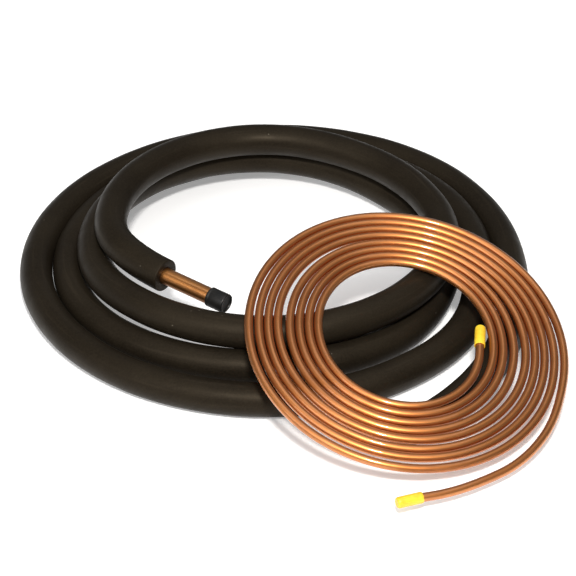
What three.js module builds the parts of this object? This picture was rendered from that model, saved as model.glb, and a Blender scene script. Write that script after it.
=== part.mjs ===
// A mini split line set as it lies on a level floor, millimetres, +Z up.
// The suction line is a copper tube in a black foam sleeve, wound into a loose flat coil.
// The liquid line is a thin bare copper tube, wound flat in a coil that leans on the black one.
import * as THREE from 'three';

// Tubing and sleeve
const suctionTubeOd = 19.05;
const suctionTubeWall = 0.89;
const foamWall = 8.7;
const foamFit = 0.3;
const liquidTubeOd = 9.52;
const liquidTubeWall = 0.81;

// Clearance between surfaces that touch on the real object
const touchGap = 0.3;

// End caps
const suctionCapWall = 1.4;
const suctionCapGrip = 20;
const suctionCapEnd = 2.5;
const liquidCapWall = 1;
const liquidCapGrip = 26;
const liquidCapEnd = 2;

// Bare copper between the sleeve and the cap
const bareInner = 62;
const bareOuter = 45;

// Heading in plan and dip below level of the bare inner end, in degrees
const innerHeading = -35;
const innerDip = 3.5;

// Coil of the sleeved line: the radius of its outermost turn's centre line
const rimRadius = 277;

// Coil of the bare line
const liquidStartRadius = 90.4;
const liquidStartAngle = -4;
const liquidTurns = 8.23;
const liquidTurnGap = 0.4;
const liquidOval = 6.5;
const liquidCentreX = 144;
const liquidCentreY = -222;
const leanAscent = 122;
const leanGap = 1.2;

// Facets round each section, and the path's steps in degrees
const foamFacets = 12;
const tubeFacets = 8;
const foamStep = 12;
const liquidStep = 15;

// Derived sizes
const foamBore = suctionTubeOd + 2 * foamFit;
const foamOd = foamBore + 2 * foamWall;
const foamCornerOd = foamOd / Math.cos(Math.PI / foamFacets);
const lanePitch = foamCornerOd + touchGap;
const liquidPitch = liquidTubeOd + liquidTurnGap;

// Route of the sleeved line from its outer end to its inner end. Each row is the angle travelled
// round the coil, the lanes in from the rim and the layers up from the floor, in lane pitches.
const foamRoute = [
  [-60, -1.91, 0], [-50, -1.51, 0], [-40, -1.1, 0], [-25, -0.57, 0], [-10, -0.16, 0],
  [0, -0.03, 0], [10, -0.01, 0], [25, -0.05, 0], [45, -0.16, 0], [70, -0.21, 0],
  [90, -0.21, 0], [120, -0.1, 0], [145, -0.02, 0], [200, 0, 0], [270, 0, 0],
  [285, 0.04, 0], [300, 0.19, 0], [320, 0.37, 0], [332, 0.55, 0.03], [345, 0.79, 0.13],
  [360, 0.95, 0.21], [375, 0.97, 0.21], [405, 0.91, 0.18], [420, 0.87, 0.13], [440, 0.8, 0.03],
  [455, 0.82, 0], [475, 0.92, 0], [500, 0.99, 0.03], [560, 1, 0.04], [590, 1.12, 0.13],
  [615, 1.27, 0.17], [635, 1.37, 0.15], [655, 1.49, 0.1], [675, 1.69, 0], [695, 1.88, 0],
  [715, 1.94, 0], [730, 1.95, 0], [746, 1.94, 0.03], [765, 1.92, 0.11], [782, 1.87, 0.26],
  [800, 1.79, 0.39], [815, 1.76, 0.46], [840, 1.76, 0.57], [870, 1.77, 0.65], [900, 1.76, 0.7],
  [915, 1.74, 0.72], [925, 1.74, 0.79], [940, 1.75, 0.93], [955, 1.77, 0.98], [975, 1.81, 0.99],
  [1000, 1.87, 0.99], [1030, 1.94, 0.99], [1080, 2, 1], [1100, 2.07, 1.02], [1120, 2.13, 1.1], [1142, 2.23, 1.23], [1165, 2.23, 1.36],
  [1180, 2.23, 1.41], [1195, 2.26, 1.45], [1225, 2.31, 1.5], [1255, 2.32, 1.52], [1265, 2.31, 1.53],
  [1272, 2.33, 1.53], [1280, 2.42, 1.52], [1289, 2.59, 1.49], [1297, 2.72, 1.46], [1305, 2.83, 1.43],
];
const foamStart = foamRoute[0][0];
const foamEnd = foamRoute[foamRoute.length - 1][0];

// The two places where the bare coil rests on the sleeved one
const leanLowAngle = -60;
const leanHighAngle = 1007;

// Slack between the turns of the bare coil. Each row is the turns travelled from its inner end and
// the radius gained there beyond the tight spiral.
const liquidSlack = [
  [0, -2], [0.25, 3.5], [0.52, 6.5], [0.74, 7.5],
  [1, 4], [1.25, 5], [1.52, 6.7], [1.74, 7.8],
  [2, 4.5], [2.25, 7], [2.52, 7], [2.74, 8.1],
  [3, 6.5], [3.25, 8.5], [3.52, 7.3], [3.74, 8.5],
  [4, 9.5], [4.25, 10], [4.52, 10.5], [4.74, 10],
  [5, 10], [5.25, 13], [5.52, 10.8], [5.74, 10.5],
  [6, 10.5], [6.25, 14.5], [6.52, 11.1], [6.74, 11.1],
  [7, 11.2], [7.25, 19], [7.52, 11.7], [7.74, 11.5],
  [8, 12.5], [8.05, 14.5], [8.1, 22], [8.15, 30], [8.18, 33.5], [8.23, 45],
];

const radians = THREE.MathUtils.degToRad;
const upward = new THREE.Vector3(0, 0, 1);

// A smooth value, or values, read from rows whose first entry is the position
function smoothRows(rows) {
  const size = rows[0].length - 1;
  const positions = rows.map((row) => row[0]);
  const values = rows.flatMap((row) => row.slice(1));
  return new THREE.CubicInterpolant(positions, values, size, new Float32Array(size));
}

const foamRows = smoothRows(foamRoute);
const slackRows = smoothRows(liquidSlack);

// Centre of the sleeved line at an angle travelled
function foamPoint(angle) {
  const [inward, up] = foamRows.evaluate(angle);
  const radius = rimRadius - lanePitch * inward;
  return new THREE.Vector3(
    radius * Math.cos(radians(angle)),
    radius * Math.sin(radians(angle)),
    foamOd / 2 + lanePitch * Math.max(up, 0),
  );
}

// Centre of the bare line in the plane of its own coil, after a number of turns
function liquidPoint(turns) {
  const angle = radians(liquidStartAngle - 360 * turns);
  const [slack] = slackRows.evaluate(turns);
  const spiral = liquidStartRadius + liquidPitch * turns + slack;
  const radius = spiral - liquidOval * Math.cos(2 * angle);
  return new THREE.Vector3(radius * Math.cos(angle), radius * Math.sin(angle), 0);
}

// A path through given stations whose sections stay upright
class StationPath extends THREE.Curve {
  constructor(stations) {
    super();
    this.stations = stations;
    this.tangents = stations.map((station, i) => {
      const before = stations[Math.max(i - 1, 0)];
      const after = stations[Math.min(i + 1, stations.length - 1)];
      const back = station.clone().sub(before).normalize();
      const ahead = after.clone().sub(station).normalize();
      return back.add(ahead).normalize();
    });
    this.normals = this.tangents.map((tangent) => upward.clone().cross(tangent).normalize());
    this.binormals = this.tangents.map((tangent, i) => tangent.clone().cross(this.normals[i]));
  }

  getPoint(t) {
    const place = t * (this.stations.length - 1);
    const i = Math.min(Math.floor(place), this.stations.length - 2);
    return this.stations[i].clone().lerp(this.stations[i + 1], place - i);
  }

  getSpacedPoints() {
    return this.stations;
  }

  computeFrenetFrames() {
    return { tangents: this.tangents, normals: this.normals, binormals: this.binormals };
  }
}

// A regular polygon with flats of the given size across, one flat downwards
function polygon(across, facets, outline) {
  const corner = across / 2 / Math.cos(Math.PI / facets);
  for (let i = 0; i < facets; i += 1) {
    const angle = ((i + 0.5) / facets) * 2 * Math.PI;
    const x = corner * Math.cos(angle);
    const y = corner * Math.sin(angle);
    if (i === 0) outline.moveTo(x, y);
    else outline.lineTo(x, y);
  }
  outline.closePath();
  return outline;
}

// A hollow tube along a path
function hollowTube(path, od, odFacets, bore, boreFacets) {
  const section = polygon(od, odFacets, new THREE.Shape());
  section.holes.push(polygon(bore, boreFacets, new THREE.Path()));
  const steps = path.stations.length - 1;
  return new THREE.ExtrudeGeometry(section, { steps, curveSegments: 1, extrudePath: path });
}

// A cup that slips over a tube's end. Its inner end face is at y = 0 and it closes towards +Y.
function cupCap(tubeOd, wall, grip, end) {
  const flatToCorner = 1 / Math.cos(Math.PI / tubeFacets);
  const bore = (tubeOd / 2 + touchGap) * flatToCorner;
  const outside = (tubeOd / 2 + touchGap + wall) * flatToCorner;
  const profile = [
    new THREE.Vector2(0, 0),
    new THREE.Vector2(bore, 0),
    new THREE.Vector2(bore, -grip),
    new THREE.Vector2(outside, -grip),
    new THREE.Vector2(outside, end),
    new THREE.Vector2(0, end),
  ];
  return new THREE.LatheGeometry(profile, tubeFacets, Math.PI / tubeFacets);
}

// The far or the near end of a path, as a place and the frame there, with +Y out of the end
function endFrame(path, far) {
  const i = far ? path.stations.length - 1 : 0;
  const out = path.tangents[i].clone().multiplyScalar(far ? 1 : -1);
  const side = path.normals[i];
  const third = side.clone().cross(out);
  const place = path.stations[i].clone().addScaledVector(out, touchGap);
  return new THREE.Matrix4().makeBasis(side, out, third).setPosition(place);
}

function namedMesh(name, geometry, color, roughness, metalness) {
  const material = new THREE.MeshStandardMaterial({ color, roughness, metalness });
  const mesh = new THREE.Mesh(geometry, material);
  mesh.name = name;
  return mesh;
}

function cap(name, path, far, geometry, color, roughness) {
  const mesh = namedMesh(name, geometry, color, roughness, 0);
  mesh.applyMatrix4(endFrame(path, far));
  return mesh;
}

// The sleeved line: the sleeve covers the inner stations of the tube's path
function suctionLine() {
  const sleeved = [];
  const steps = Math.round((foamEnd - foamStart) / foamStep);
  for (let i = 0; i <= steps; i += 1) {
    sleeved.push(foamPoint(foamStart + (i * (foamEnd - foamStart)) / steps));
  }
  const sleevePath = new StationPath(sleeved);
  const outerEnd = sleeved[0].clone()
    .addScaledVector(sleevePath.tangents[0], -(bareOuter + suctionCapGrip));
  const innerWay = new THREE.Vector3(Math.cos(radians(innerHeading)), Math.sin(radians(innerHeading)), 0)
    .addScaledVector(upward, -Math.tan(radians(innerDip)))
    .normalize();
  const innerEnd = sleeved[steps].clone().addScaledVector(innerWay, bareInner + suctionCapGrip);
  const tubePath = new StationPath([outerEnd, ...sleeved, innerEnd]);

  const sleeve = hollowTube(sleevePath, foamOd, foamFacets, foamBore, tubeFacets);
  const bore = suctionTubeOd - 2 * suctionTubeWall;
  const tube = hollowTube(tubePath, suctionTubeOd, tubeFacets, bore, tubeFacets);
  const capShape = cupCap(suctionTubeOd, suctionCapWall, suctionCapGrip, suctionCapEnd);

  const line = new THREE.Group();
  line.add(namedMesh('suction_insulation', sleeve, 0x2a2724, 0.85, 0));
  line.add(namedMesh('suction_tube', tube, 0xb06a3c, 0.35, 1));
  line.add(cap('suction_cap_inner', tubePath, true, capShape, 0x151515, 0.5));
  line.add(cap('suction_cap_outer', tubePath, false, capShape.clone(), 0x151515, 0.5));
  return line;
}

// The bare line, made flat and then leaned on the sleeved coil
function liquidLine() {
  const stations = [];
  const stepTurns = liquidStep / 360;
  const count = Math.round(liquidTurns / stepTurns);
  for (let i = 0; i <= count; i += 1) stations.push(liquidPoint((i * liquidTurns) / count));
  const wound = new StationPath(stations);
  const innerEnd = stations[0].clone().addScaledVector(wound.tangents[0], -liquidCapGrip);
  const outerEnd = stations[count].clone().addScaledVector(wound.tangents[count], liquidCapGrip);
  const path = new StationPath([innerEnd, ...stations, outerEnd]);
  const bore = liquidTubeOd - 2 * liquidTubeWall;
  const tube = hollowTube(path, liquidTubeOd, tubeFacets, bore, tubeFacets);
  const capShape = cupCap(liquidTubeOd, liquidCapWall, liquidCapGrip, liquidCapEnd);

  const line = new THREE.Group();
  line.add(namedMesh('liquid_tube', tube, 0xc87846, 0.3, 1));
  line.add(cap('liquid_cap_inner', path, false, capShape, 0xf0c828, 0.45));
  line.add(cap('liquid_cap_outer', path, true, capShape.clone(), 0xf0c828, 0.45));

  const low = foamPoint(leanLowAngle);
  const high = foamPoint(leanHighAngle);
  const ascent = new THREE.Vector3(Math.cos(radians(leanAscent)), Math.sin(radians(leanAscent)), 0);
  const hinge = new THREE.Vector3(-ascent.y, ascent.x, 0).negate();
  const rise = high.clone().sub(low);
  const slope = Math.atan2(rise.z, rise.dot(ascent));
  const centre = new THREE.Vector3(liquidCentreX, liquidCentreY, 0);
  const along = centre.clone().sub(low).dot(ascent);
  const clear = (foamOd + liquidTubeOd) / 2 + leanGap;
  centre.z = low.z + along * Math.tan(slope) + clear / Math.cos(slope);
  line.quaternion.setFromAxisAngle(hinge, slope);
  line.position.copy(centre);
  return line;
}

const lineSet = new THREE.Group();
lineSet.add(suctionLine(), liquidLine());

// The middle of the whole footprint goes to the origin, and its underside to z = 0
lineSet.updateMatrixWorld(true);
const box = new THREE.Box3().setFromObject(lineSet, true);
lineSet.position.set(-(box.min.x + box.max.x) / 2, -(box.min.y + box.max.y) / 2, -box.min.z);
lineSet.updateMatrixWorld(true);

export default lineSet;
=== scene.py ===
import math

import bpy
import numpy as np
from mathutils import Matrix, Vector


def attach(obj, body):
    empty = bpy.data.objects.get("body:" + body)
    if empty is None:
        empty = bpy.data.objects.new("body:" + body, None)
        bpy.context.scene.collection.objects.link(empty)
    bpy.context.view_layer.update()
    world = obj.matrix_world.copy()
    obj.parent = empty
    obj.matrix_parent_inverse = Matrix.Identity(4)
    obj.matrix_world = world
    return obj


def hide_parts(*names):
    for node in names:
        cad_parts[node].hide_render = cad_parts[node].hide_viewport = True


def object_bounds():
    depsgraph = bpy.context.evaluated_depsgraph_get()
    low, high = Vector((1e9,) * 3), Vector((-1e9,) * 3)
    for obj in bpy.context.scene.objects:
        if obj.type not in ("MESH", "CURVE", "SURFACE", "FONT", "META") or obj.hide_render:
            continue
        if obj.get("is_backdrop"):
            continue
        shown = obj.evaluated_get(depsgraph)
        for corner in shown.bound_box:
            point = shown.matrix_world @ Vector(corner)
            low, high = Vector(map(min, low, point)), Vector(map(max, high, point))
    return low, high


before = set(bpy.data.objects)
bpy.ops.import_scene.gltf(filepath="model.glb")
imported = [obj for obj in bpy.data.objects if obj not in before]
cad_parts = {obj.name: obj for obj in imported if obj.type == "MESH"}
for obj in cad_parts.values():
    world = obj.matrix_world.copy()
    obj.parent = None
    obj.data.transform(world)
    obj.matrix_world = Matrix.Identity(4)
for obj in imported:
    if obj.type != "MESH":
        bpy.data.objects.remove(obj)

MM = 0.001
cad_low, cad_high = (np.array(corner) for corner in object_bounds())

# Camera: the photograph's viewing angle, with the whole set in a square frame
VIEW_ELEVATION = math.radians(33.6)
VIEW_DISTANCE = 2.6
VIEW_TARGET = Vector((0.0045, 0.0456, 0.0))
camera_data = bpy.data.cameras.new("camera")
camera_data.sensor_width = 36
camera_data.lens = 139.4
camera = bpy.data.objects.new("camera", camera_data)
back = Vector((0, -math.cos(VIEW_ELEVATION), math.sin(VIEW_ELEVATION)))
camera.location = VIEW_TARGET + back * VIEW_DISTANCE
camera.rotation_euler = (-back).to_track_quat("-Z", "Y").to_euler()
bpy.context.scene.collection.objects.link(camera)
bpy.context.scene.camera = camera

# Sizes in millimetres, the same as the solid model's
SUCTION_TUBE_OD = 19.05
SUCTION_TUBE_WALL = 0.89
FOAM_WALL = 8.7
FOAM_FIT = 0.3
LIQUID_TUBE_OD = 9.52
LIQUID_TUBE_WALL = 0.81
TOUCH_GAP = 0.3
SUCTION_GRIP = 20
LIQUID_GRIP = 26
BARE_INNER = 62
BARE_OUTER = 45
INNER_HEADING = -35
INNER_DIP = 3.5
RIM_RADIUS = 277
LIQUID_START_RADIUS = 90.4
LIQUID_START_ANGLE = -4
LIQUID_TURNS = 8.23
LIQUID_TURN_GAP = 0.4
LIQUID_OVAL = 6.5
LIQUID_CENTRE = (144, -222)
LEAN_ASCENT = 122
LEAN_GAP = 1.2
LEAN_LOW_ANGLE = -60
LEAN_HIGH_ANGLE = 1007
FOAM_FACETS = 12
FOAM_STEP = 12
LIQUID_STEP = 15
ROW_SHIFT = np.array((-13.569, 77.447, 0))

# How finely the visible pieces are laid out: stations on a path, rings along a piece and
# corners around it
FOAM_STATIONS, FOAM_RINGS, FOAM_AROUND = 911, 720, 56
SUCTION_RINGS, SUCTION_AROUND = 900, 40
LIQUID_STATIONS, LIQUID_RINGS, LIQUID_AROUND = 1977, 2700, 24
CAP_AROUND = 64
SUCTION_BLUR = 9
LIQUID_BLUR = 7
CHORD_SHARE = 0.6
FOAM_EASE_DEGREES = 20
LIQUID_EASE_TURNS = 0.06
BOX_MARGIN = 0.00002

FOAM_BORE = SUCTION_TUBE_OD + 2 * FOAM_FIT
FOAM_OD = FOAM_BORE + 2 * FOAM_WALL
LANE_PITCH = FOAM_OD / math.cos(math.pi / FOAM_FACETS) + TOUCH_GAP
LIQUID_PITCH = LIQUID_TUBE_OD + LIQUID_TURN_GAP

FOAM_ROUTE = [
    [-60, -1.91, 0], [-50, -1.51, 0], [-40, -1.1, 0], [-25, -0.57, 0], [-10, -0.16, 0],
    [0, -0.03, 0], [10, -0.01, 0], [25, -0.05, 0], [45, -0.16, 0], [70, -0.21, 0],
    [90, -0.21, 0], [120, -0.1, 0], [145, -0.02, 0], [200, 0, 0], [270, 0, 0],
    [285, 0.04, 0], [300, 0.19, 0], [320, 0.37, 0], [332, 0.55, 0.03], [345, 0.79, 0.13],
    [360, 0.95, 0.21], [375, 0.97, 0.21], [405, 0.91, 0.18], [420, 0.87, 0.13], [440, 0.8, 0.03],
    [455, 0.82, 0], [475, 0.92, 0], [500, 0.99, 0.03], [560, 1, 0.04], [590, 1.12, 0.13],
    [615, 1.27, 0.17], [635, 1.37, 0.15], [655, 1.49, 0.1], [675, 1.69, 0], [695, 1.88, 0],
    [715, 1.94, 0], [730, 1.95, 0], [746, 1.94, 0.03], [765, 1.92, 0.11], [782, 1.87, 0.26],
    [800, 1.79, 0.39], [815, 1.76, 0.46], [840, 1.76, 0.57], [870, 1.77, 0.65], [900, 1.76, 0.7],
    [915, 1.74, 0.72], [925, 1.74, 0.79], [940, 1.75, 0.93], [955, 1.77, 0.98], [975, 1.81, 0.99],
    [1000, 1.87, 0.99], [1030, 1.94, 0.99], [1080, 2, 1], [1100, 2.07, 1.02], [1120, 2.13, 1.1],
    [1142, 2.23, 1.23], [1165, 2.23, 1.36], [1180, 2.23, 1.41], [1195, 2.26, 1.45],
    [1225, 2.31, 1.5], [1255, 2.32, 1.52], [1265, 2.31, 1.53], [1272, 2.33, 1.53],
    [1280, 2.42, 1.52], [1289, 2.59, 1.49], [1297, 2.72, 1.46], [1305, 2.83, 1.43],
]
LIQUID_SLACK = [
    [0, -2], [0.25, 3.5], [0.52, 6.5], [0.74, 7.5],
    [1, 4], [1.25, 5], [1.52, 6.7], [1.74, 7.8],
    [2, 4.5], [2.25, 7], [2.52, 7], [2.74, 8.1],
    [3, 6.5], [3.25, 8.5], [3.52, 7.3], [3.74, 8.5],
    [4, 9.5], [4.25, 10], [4.52, 10.5], [4.74, 10],
    [5, 10], [5.25, 13], [5.52, 10.8], [5.74, 10.5],
    [6, 10.5], [6.25, 14.5], [6.52, 11.1], [6.74, 11.1],
    [7, 11.2], [7.25, 19], [7.52, 11.7], [7.74, 11.5],
    [8, 12.5], [8.05, 14.5], [8.1, 22], [8.15, 30], [8.18, 33.5], [8.23, 45],
]


# Paths
def unit(v):
    return v / np.linalg.norm(v, axis=-1, keepdims=True)


def smooth_rows(rows, at):
    """Values read smoothly from rows whose first entry is the position."""
    rows = np.array(rows, float)
    at = np.atleast_1d(at).astype(float)
    x, y = rows[:, 0], rows[:, 1:]
    slopes = np.diff(y, axis=0) / np.diff(x)[:, None]
    ends = np.vstack([slopes[:1], (slopes[1:] + slopes[:-1]) / 2, slopes[-1:]])
    i = np.clip(np.searchsorted(x, at, side="right") - 1, 0, len(x) - 2)
    h = (x[i + 1] - x[i])[:, None]
    p = (at - x[i])[:, None] / h
    near = (2 * p**3 - 3 * p**2 + 1) * y[i] + (p**3 - 2 * p**2 + p) * h * ends[i]
    far = (3 * p**2 - 2 * p**3) * y[i + 1] + (p**3 - p**2) * h * ends[i + 1]
    return near + far


def foam_centres(angles, step=0):
    """Centre of the sleeved line in coil coordinates. With a step, the path keeps
    midway between the true curve and the chords of the solid model's stations."""
    angles = np.atleast_1d(angles).astype(float)
    inward, up = smooth_rows(FOAM_ROUTE, angles).T
    first, last = FOAM_ROUTE[0][0], FOAM_ROUTE[-1][0]
    ease = np.clip(np.minimum(angles - first, last - angles) / FOAM_EASE_DEGREES, 0, 1)
    chord = 1 - ease * (1 - math.cos(math.radians(step / 2))) * CHORD_SHARE
    radius = (RIM_RADIUS - LANE_PITCH * inward) * chord
    turn = np.radians(angles)
    height = FOAM_OD / 2 + LANE_PITCH * np.maximum(up, 0)
    return np.c_[radius * np.cos(turn), radius * np.sin(turn), height]


def liquid_centres(turns, step=0):
    """Centre of the bare line in the plane of its own coil."""
    turns = np.atleast_1d(turns).astype(float)
    angle = np.radians(LIQUID_START_ANGLE - 360 * turns)
    slack = smooth_rows(LIQUID_SLACK, turns)[:, 0]
    spiral = LIQUID_START_RADIUS + LIQUID_PITCH * turns + slack
    ease = np.clip(np.minimum(turns, LIQUID_TURNS - turns) / LIQUID_EASE_TURNS, 0, 1)
    chord = 1 - ease * (1 - math.cos(math.radians(step / 2))) * CHORD_SHARE
    radius = (spiral - LIQUID_OVAL * np.cos(2 * angle)) * chord
    return np.c_[radius * np.cos(angle), radius * np.sin(angle), 0 * angle]


class Path:
    """A smooth path in metres with upright sections, read by the distance along it."""

    def __init__(self, points, blur):
        points = np.array(points) * MM
        s = np.r_[0, np.cumsum(np.linalg.norm(np.diff(points, axis=0), axis=1))]
        count = int(s[-1] / MM)
        self.s = np.linspace(0, s[-1], count + 1)
        dense = np.c_[[np.interp(self.s, s, points[:, k]) for k in range(3)]].T
        reach = int(blur * 3)
        weights = np.exp(-0.5 * (np.arange(-reach, reach + 1) / blur) ** 2)
        weights /= weights.sum()
        before = 2 * dense[0] - dense[reach:0:-1]
        after = 2 * dense[-1] - dense[-2 : -2 - reach : -1]
        padded = np.vstack([before, dense, after])
        self.p = np.c_[[np.convolve(padded[:, k], weights, "valid") for k in range(3)]].T
        self.t = unit(np.gradient(self.p, axis=0))
        self.n = unit(np.cross((0, 0, 1), self.t))
        self.b = np.cross(self.t, self.n)
        self.length = self.s[-1]

    def at(self, s):
        return [
            np.c_[[np.interp(s, self.s, v[:, k]) for k in range(3)]].T
            for v in (self.p, self.n, self.b)
        ]


def suction_path():
    first, last = FOAM_ROUTE[0][0], FOAM_ROUTE[-1][0]
    sleeved = foam_centres(np.linspace(first, last, FOAM_STATIONS), FOAM_STEP)
    step = (last - first) / round((last - first) / FOAM_STEP)
    outer_way = unit(foam_centres(first)[0] - foam_centres(first + step)[0])
    outer_end = sleeved[0] + outer_way * (BARE_OUTER + SUCTION_GRIP)
    heading = math.radians(INNER_HEADING)
    dip = math.tan(math.radians(INNER_DIP))
    inner_way = unit(np.array((math.cos(heading), math.sin(heading), -dip)))
    inner_end = sleeved[-1] + inner_way * (BARE_INNER + SUCTION_GRIP)
    return Path(np.vstack([outer_end, sleeved, inner_end]) + ROW_SHIFT, SUCTION_BLUR)


def liquid_path():
    count = round(LIQUID_TURNS / (LIQUID_STEP / 360))
    step = LIQUID_TURNS / count
    flat = liquid_centres(np.linspace(0, LIQUID_TURNS, LIQUID_STATIONS), LIQUID_STEP)
    inner_way = unit(liquid_centres(0)[0] - liquid_centres(step)[0])
    outer_way = unit(liquid_centres(LIQUID_TURNS)[0] - liquid_centres(LIQUID_TURNS - step)[0])
    inner_end = flat[0] + inner_way * LIQUID_GRIP
    outer_end = flat[-1] + outer_way * LIQUID_GRIP
    flat = np.vstack([inner_end, flat, outer_end])

    low = foam_centres(LEAN_LOW_ANGLE)[0]
    high = foam_centres(LEAN_HIGH_ANGLE)[0]
    ascent = np.array((math.cos(math.radians(LEAN_ASCENT)), math.sin(math.radians(LEAN_ASCENT)), 0))
    rise = high - low
    slope = math.atan2(rise[2], rise @ ascent)
    centre = np.array((*LIQUID_CENTRE, 0.0))
    along = (centre - low) @ ascent
    clear = (FOAM_OD + LIQUID_TUBE_OD) / 2 + LEAN_GAP
    centre[2] = low[2] + along * math.tan(slope) + clear / math.cos(slope)
    hinge = np.array((ascent[1], -ascent[0], 0))
    turned = (
        flat * math.cos(slope)
        + np.cross(hinge, flat) * math.sin(slope)
        + np.outer(flat @ hinge, hinge) * (1 - math.cos(slope))
    )
    return Path(turned + centre + ROW_SHIFT, LIQUID_BLUR)


# Meshes
def make_mesh(name, co, faces, uv):
    """A piece from its corners, quads or triangles and the surface's own coordinates.
    No corner passes the solid model's box: where one would, the piece is pressed flat."""
    co = np.clip(co, cad_low + BOX_MARGIN, cad_high - BOX_MARGIN)
    mesh = bpy.data.meshes.new(name)
    mesh.from_pydata(co.tolist(), [], faces)
    layer = mesh.uv_layers.new(name="UVMap")
    layer.data.foreach_set("uv", np.array(uv, np.float32).ravel())
    mesh.polygons.foreach_set("use_smooth", [True] * len(mesh.polygons))
    mesh.update()
    piece = bpy.data.objects.new(name, mesh)
    bpy.context.scene.collection.objects.link(piece)
    return piece


def grid_faces(rings, around, run, close_end=False):
    """Quads between neighbouring rings, with the distance run and the share of a turn as
    their coordinates, and a fan on the last ring where that closes the piece."""
    faces, uv = [], []
    for i in range(rings - 1):
        for j in range(around):
            k = (j + 1) % around
            here, ahead = i * around, (i + 1) * around
            faces.append((here + j, here + k, ahead + k, ahead + j))
            a, b = j / around, (j + 1) / around
            uv += [(run[i], a), (run[i], b), (run[i + 1], b), (run[i + 1], a)]
    if close_end:
        tip = rings * around
        for j in range(around):
            k = (j + 1) % around
            faces.append(((rings - 1) * around + j, (rings - 1) * around + k, tip))
            a, b = j / around, (j + 1) / around
            uv += [(run[-1], a), (run[-1], b), (run[-1], (a + b) / 2)]
    return faces, uv


def sweep(name, path, rings, around, lumps=None):
    """A piece swept along a path: each ring is its distance along and its radius, in mm."""
    rings = np.array(rings, float) * MM
    s, radius = rings[:, 0], rings[:, 1]
    centre, side, rise = path.at(s)
    phi = -math.pi / 2 + 2 * math.pi * np.arange(around) / around
    reach = np.repeat(radius[:, None], around, axis=1)
    if lumps is not None:
        reach = reach + lumps(s[:, None] / MM, phi[None, :]) * MM
    across = np.cos(phi)[None, :, None] * side[:, None, :]
    way = across + np.sin(phi)[None, :, None] * rise[:, None, :]
    co = (centre[:, None, :] + reach[:, :, None] * way).reshape(-1, 3)
    run = np.r_[0, np.cumsum(np.hypot(np.diff(s), np.diff(radius)))]
    faces, uv = grid_faces(len(rings), around, run)
    return make_mesh(name, co, faces, uv)


def turned_cap(name, path, far, profile):
    """A cap turned about a path's end: each row is a radius and a distance out, in mm, from
    its mouth to its closed end."""
    place = path.p[-1] if far else path.p[0]
    out = path.t[-1] if far else -path.t[0]
    side = path.n[-1] if far else path.n[0]
    third = np.cross(out, side)
    place = place + out * TOUCH_GAP * MM
    rows = np.array(profile, float) * MM
    phi = 2 * math.pi * np.arange(CAP_AROUND) / CAP_AROUND
    way = np.cos(phi)[:, None] * side + np.sin(phi)[:, None] * third
    co = place + rows[:-1, 0][:, None, None] * way[None] + rows[:-1, 1][:, None, None] * out
    co = np.vstack([co.reshape(-1, 3), place + rows[-1, 1] * out])
    run = np.r_[0, np.cumsum(np.hypot(*np.diff(rows, axis=0).T))]
    faces, uv = grid_faces(len(rows) - 1, CAP_AROUND, run[:-1], close_end=True)
    return make_mesh(name, co, faces, uv)


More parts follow.
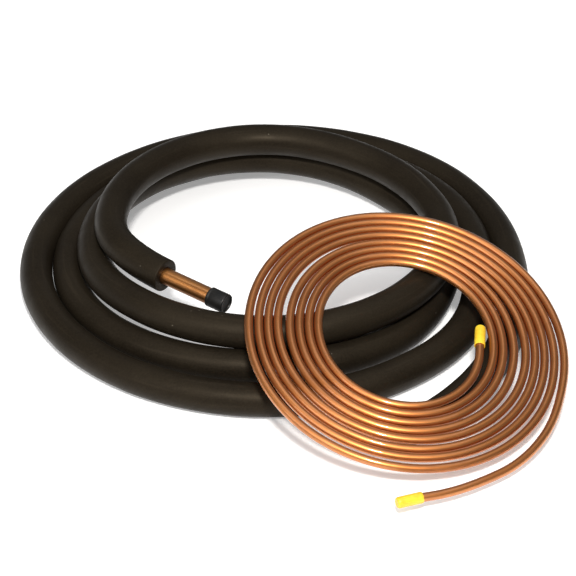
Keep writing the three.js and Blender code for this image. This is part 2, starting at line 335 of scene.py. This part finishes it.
# Materials
class Surface:
    """A procedural material, built node by node."""

    def __init__(self, name):
        self.material = bpy.data.materials.new(name)
        self.material.use_nodes = True
        self.tree = self.material.node_tree
        self.tree.nodes.clear()
        self.out = self.tree.nodes.new("ShaderNodeOutputMaterial")
        self.shader = self.tree.nodes.new("ShaderNodeBsdfPrincipled")
        self.link(self.shader.outputs["BSDF"], self.out.inputs["Surface"])
        self.coords = self.tree.nodes.new("ShaderNodeTexCoord")

    def link(self, source, target):
        self.tree.links.new(source, target)

    def set(self, **values):
        for name, value in values.items():
            self.shader.inputs[name.replace("_", " ")].default_value = value

    def mapped(self, kind, scale):
        node = self.tree.nodes.new("ShaderNodeMapping")
        node.inputs["Scale"].default_value = scale
        self.link(self.coords.outputs[kind], node.inputs["Vector"])
        return node.outputs["Vector"]

    def noise(self, vector, scale, detail=3.0, roughness=0.5):
        node = self.tree.nodes.new("ShaderNodeTexNoise")
        node.inputs["Scale"].default_value = scale
        node.inputs["Detail"].default_value = detail
        node.inputs["Roughness"].default_value = roughness
        self.link(vector, node.inputs["Vector"])
        return node.outputs["Fac"]

    def cells(self, vector, scale):
        node = self.tree.nodes.new("ShaderNodeTexVoronoi")
        node.inputs["Scale"].default_value = scale
        self.link(vector, node.inputs["Vector"])
        return node.outputs["Distance"]

    def ramp(self, value, stops):
        node = self.tree.nodes.new("ShaderNodeValToRGB")
        points = node.color_ramp.elements
        while len(points) < len(stops):
            points.new(0.5)
        for point, (place, colour) in zip(points, stops):
            point.position = place
            point.color = (*colour, 1)
        self.link(value, node.inputs["Fac"])
        return node.outputs["Color"]

    def levels(self, value, low, high, to_low=0.0, to_high=1.0):
        node = self.tree.nodes.new("ShaderNodeMapRange")
        node.inputs["From Min"].default_value = low
        node.inputs["From Max"].default_value = high
        node.inputs["To Min"].default_value = to_low
        node.inputs["To Max"].default_value = to_high
        self.link(value, node.inputs["Value"])
        return node.outputs["Result"]

    def maths(self, kind, a, b):
        node = self.tree.nodes.new("ShaderNodeMath")
        node.operation = kind
        for i, value in enumerate((a, b)):
            if isinstance(value, (int, float)):
                node.inputs[i].default_value = value
            else:
                self.link(value, node.inputs[i])
        return node.outputs["Value"]

    def mix(self, share, a, b):
        node = self.tree.nodes.new("ShaderNodeMix")
        node.data_type = "RGBA"
        for name, value in (("Factor", share), ("A", a), ("B", b)):
            socket = next(
                i for i in node.inputs
                if i.name == name and (i.type == "RGBA" or (name == "Factor" and i.type == "VALUE"))
            )
            if isinstance(value, tuple):
                socket.default_value = (*value, 1)
            else:
                self.link(value, socket)
        return next(o for o in node.outputs if o.type == "RGBA")

    def bump(self, layers):
        normal = None
        for height, strength, distance in layers:
            node = self.tree.nodes.new("ShaderNodeBump")
            node.inputs["Strength"].default_value = strength
            node.inputs["Distance"].default_value = distance
            self.link(height, node.inputs["Height"])
            if normal is not None:
                self.link(normal, node.inputs["Normal"])
            normal = node.outputs["Normal"]
        self.link(normal, self.shader.inputs["Normal"])


def foam_surface():
    """Closed-cell foam with its smooth dark skin: faint mottling, fine pebbling, drag marks
    along the sleeve and a little pale dust."""
    m = Surface("foam_skin")
    space = m.mapped("Object", (1, 1, 1))
    along = m.mapped("UV", (7, 26, 1))
    clouds = m.noise(space, 11, 3)
    grain = m.noise(space, 520, 3, 0.6)
    drag = m.noise(along, 1.0, 4, 0.6)
    colour = m.ramp(clouds, [(0.32, (0.0060, 0.0043, 0.0027)), (0.68, (0.0115, 0.0087, 0.0055))])
    colour = m.mix(m.levels(grain, 0.35, 0.75, 0, 0.45), colour, (0.026, 0.020, 0.013))
    colour = m.mix(m.levels(drag, 0.56, 0.78, 0, 0.5), colour, (0.031, 0.024, 0.016))
    specks = m.levels(m.cells(space, 92), 0.05, 0.075, 1, 0)
    sparse = m.levels(m.noise(space, 14, 1), 0.6, 0.66, 0, 1)
    dust = m.maths("MULTIPLY", specks, sparse)
    colour = m.mix(m.maths("MULTIPLY", dust, 0.55), colour, (0.19, 0.165, 0.13))
    m.link(colour, m.shader.inputs["Base Color"])
    rough = m.levels(m.noise(space, 34, 3), 0.3, 0.7, 0.42, 0.56)
    m.link(rough, m.shader.inputs["Roughness"])
    m.set(Specular_IOR_Level=0.15, Specular_Tint=(1.0, 0.82, 0.6, 1.0))
    m.bump([
        (clouds, 0.5, 0.0012),
        (m.noise(space, 75, 2), 0.35, 0.0004),
        (grain, 0.3, 0.00012),
    ])
    return m.material


def copper_surface(name, bright, deep, tarnish, roughness, streak):
    """Drawn copper: fine lines along the tube, soft brighter and duller lengths, thin tarnish."""
    m = Surface(name)
    space = m.mapped("Object", (1, 1, 1))
    lines = m.noise(m.mapped("UV", (5.0, 34, 1)), 1.0, 5, 0.65)
    bands = m.noise(m.mapped("UV", (9.0, 5, 1)), 1.0, 2, 0.5)
    patches = m.noise(space, 16, 4, 0.6)
    specks = m.noise(space, 380, 3, 0.6)
    colour = m.ramp(lines, [(0.3, deep), (0.7, bright)])
    colour = m.mix(m.levels(bands, 0.45, 0.72, 0, 0.35), colour, bright)
    colour = m.mix(m.levels(patches, 0.5, 0.74, 0, 0.55), colour, tarnish)
    colour = m.mix(m.levels(specks, 0.62, 0.74, 0, 0.3), colour, tarnish)
    m.link(colour, m.shader.inputs["Base Color"])
    rough = m.levels(m.maths("ADD", lines, patches), 0.7, 1.35, roughness - 0.07, roughness + 0.1)
    m.link(rough, m.shader.inputs["Roughness"])
    m.set(Metallic=1.0, Coat_Weight=0.7, Coat_Roughness=0.07, Coat_IOR=1.5)
    m.bump([(lines, streak, 0.00018), (specks, 0.08, 0.00008), (patches, 0.2, 0.0003)])
    return m.material


def plastic_surface(name, main, shade, roughness, grain, soft=0.0, gloss=0.5):
    """Moulded plastic: fine texture, slight handling marks and a shade that varies."""
    m = Surface(name)
    space = m.mapped("Object", (1, 1, 1))
    clouds = m.noise(space, 90, 3)
    fine = m.noise(space, 1400, 2)
    scuffs = m.noise(m.mapped("UV", (60, 9, 1)), 1.0, 4, 0.65)
    colour = m.ramp(clouds, [(0.35, shade), (0.65, main)])
    colour = m.mix(m.levels(scuffs, 0.6, 0.78, 0, 0.3), colour, shade)
    m.link(colour, m.shader.inputs["Base Color"])
    rough = m.levels(scuffs, 0.3, 0.75, roughness - 0.05, roughness + 0.12)
    m.link(rough, m.shader.inputs["Roughness"])
    m.set(Specular_IOR_Level=gloss)
    if soft:
        m.set(Subsurface_Weight=soft, Subsurface_Scale=1.0)
        m.set(Subsurface_Radius=(0.003, 0.002, 0.0006))
    m.bump([(fine, grain, 0.00006), (clouds, 0.2, 0.0001)])
    return m.material


def floor_surface():
    m = Surface("floor_white")
    tone = m.noise(m.mapped("Object", (1, 1, 1)), 3, 2)
    colour = m.ramp(tone, [(0.3, (0.86, 0.86, 0.86)), (0.7, (0.88, 0.88, 0.88))])
    m.link(colour, m.shader.inputs["Base Color"])
    m.set(Roughness=0.9, Emission_Color=(1.0, 1.0, 1.0, 1.0), Emission_Strength=0.3)
    return m.material


def finish_piece(piece, node, material):
    piece.data.materials.append(material)
    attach(piece, "root")
    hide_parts(node)
    return piece


# The sleeved line
FOAM_SKIN_RADIUS = 18.88
suction = suction_path()
total = suction.length / MM
sleeve_from = SUCTION_GRIP + BARE_OUTER
sleeve_to = total - SUCTION_GRIP - BARE_INNER


def foam_lumps(s, phi):
    """The sleeve's slight unevenness, none of it at the very ends."""
    ends = np.clip(np.minimum(s - sleeve_from - 2, sleeve_to - 2 - s) / 20, 0, 1)
    waves = 0.09 * np.sin(s / 37 + phi) + 0.07 * np.sin(s / 16.3 - 2 * phi + 1.3)
    waves = waves + 0.05 * np.sin(s / 9.1 + 3 * phi + 0.4)
    return ends * (waves - 0.05)


skin = FOAM_SKIN_RADIUS
bore = FOAM_BORE / 2
cut_edge = [
    (26, bore), (1.2, bore), (0.35, bore + 0.12), (0, bore + 0.5), (0.05, (bore + skin) / 2),
    (0, skin - 1.1), (0.12, skin - 0.6), (0.45, skin - 0.2), (1.1, skin),
]
body = [(s, skin) for s in np.linspace(sleeve_from + 4, sleeve_to - 4, FOAM_RINGS)]
rings = [(sleeve_from + d, r) for d, r in cut_edge] + body
rings += [(sleeve_to - d, r) for d, r in cut_edge[::-1]]
sleeve = sweep("foam_sleeve", suction, rings, FOAM_AROUND, foam_lumps)
finish_piece(sleeve, "suction_insulation", foam_surface())

tube_skin = SUCTION_TUBE_OD / 2
tube_bore = tube_skin - SUCTION_TUBE_WALL
tube_end = [
    (24, tube_bore), (0.3, tube_bore), (0, tube_bore + 0.2), (0, tube_skin - 0.2), (0.25, tube_skin),
]
rings = [(d, r) for d, r in tube_end]
rings += [(s, tube_skin) for s in np.linspace(3, total - 3, SUCTION_RINGS)]
rings += [(total - d, r) for d, r in tube_end[::-1]]
suction_tube = sweep("suction_copper_tube", suction, rings, SUCTION_AROUND)
suction_copper = copper_surface(
    "copper_drawn", (0.66, 0.29, 0.085), (0.44, 0.165, 0.045), (0.26, 0.10, 0.035), 0.36, 0.35)
finish_piece(suction_tube, "suction_tube", suction_copper)

black_plastic = plastic_surface(
    "black_plastic", (0.006, 0.006, 0.006), (0.011, 0.010, 0.009), 0.4, 0.35, gloss=0.3)
black_profile = [
    (9.75, -8), (9.62, -18.5), (9.75, -19.4), (10.2, -20), (10.9, -20), (11.15, -19.6), (11.15, -17.6),
    (10.95, -17.2), (10.95, -15.8), (11.1, -15.4), (11.1, 0.6), (11.0, 1.5), (10.6, 2.2), (10.0, 2.5),
    (9.5, 2.5), (9.1, 2.3), (8.9, 1.8), (8.8, 0.9), (8.4, 0.6), (4, 0.55), (1, 0.55), (0, 0.55),
]
for name, node, far in (
    ("black_cap_inner", "suction_cap_inner", True),
    ("black_cap_outer", "suction_cap_outer", False),
):
    finish_piece(turned_cap(name, suction, far, black_profile), node, black_plastic)

# The bare line
liquid = liquid_path()
total = liquid.length / MM
tube_skin = LIQUID_TUBE_OD / 2
tube_bore = tube_skin - LIQUID_TUBE_WALL
tube_end = [
    (20, tube_bore), (0.3, tube_bore), (0, tube_bore + 0.15), (0, tube_skin - 0.15), (0.2, tube_skin),
]
rings = [(d, r) for d, r in tube_end]
rings += [(s, tube_skin) for s in np.linspace(3, total - 3, LIQUID_RINGS)]
rings += [(total - d, r) for d, r in tube_end[::-1]]
liquid_tube = sweep("liquid_copper_tube", liquid, rings, LIQUID_AROUND)
liquid_copper = copper_surface(
    "copper_bright", (0.626, 0.245, 0.075), (0.460, 0.159, 0.042), (0.304, 0.099, 0.024), 0.42, 0.3)
finish_piece(liquid_tube, "liquid_tube", liquid_copper)

yellow_vinyl = plastic_surface(
    "yellow_vinyl", (0.88, 0.60, 0.035), (0.74, 0.47, 0.02), 0.38, 0.25, soft=0.15)
yellow_profile = [
    (4.95, -12), (4.85, -24.8), (5.0, -25.7), (5.3, -26), (5.75, -26), (5.98, -25.7), (6.02, -24.5),
    (5.97, -22), (5.95, -12), (5.95, -2.5), (5.9, -0.6), (5.72, 0.5), (5.35, 1.3), (4.8, 1.8),
    (4.0, 2.0), (2.6, 2.0), (1.6, 1.9), (0.8, 1.7), (0, 1.65),
]
for name, node, far in (
    ("yellow_cap_inner", "liquid_cap_inner", False),
    ("yellow_cap_outer", "liquid_cap_outer", True),
):
    finish_piece(turned_cap(name, liquid, far, yellow_profile), node, yellow_vinyl)

# Floor and light
FLOOR_SIZE = 60
FLOOR_DROP = 0.0002
WORLD_STRENGTH = 0.2
bpy.ops.mesh.primitive_plane_add(size=FLOOR_SIZE, location=(0, 0, -FLOOR_DROP))
floor = bpy.context.object
floor.name = "floor"
floor.data.materials.append(floor_surface())
floor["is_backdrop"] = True


def soft_light(name, place, aim, size, power, colour=(1, 1, 1)):
    data = bpy.data.lights.new(name, "AREA")
    data.shape = "RECTANGLE"
    data.size, data.size_y = size
    data.energy = power
    data.color = colour
    light = bpy.data.objects.new(name, data)
    light.location = place
    light.rotation_euler = (Vector(aim) - Vector(place)).to_track_quat("-Z", "Y").to_euler()
    bpy.context.scene.collection.objects.link(light)


soft_light("key", (0.09, -1.95, 2.25), (0.1, -0.05, 0), (0.3, 0.3), 90, (1, 0.98, 0.95))
soft_light("top", (0.2, 0.1, 2.6), (0, 0, 0), (2.4, 2.4), 20)
soft_light("fill", (-1.7, -1.6, 1.7), (0, 0, 0), (1.6, 1.6), 22)

world = bpy.data.worlds.new("studio")
world.use_nodes = True
world.node_tree.nodes["Background"].inputs["Color"].default_value = (1, 1, 1, 1)
world.node_tree.nodes["Background"].inputs["Strength"].default_value = WORLD_STRENGTH
bpy.context.scene.world = world
bpy.context.scene.view_settings.view_transform = "Standard"
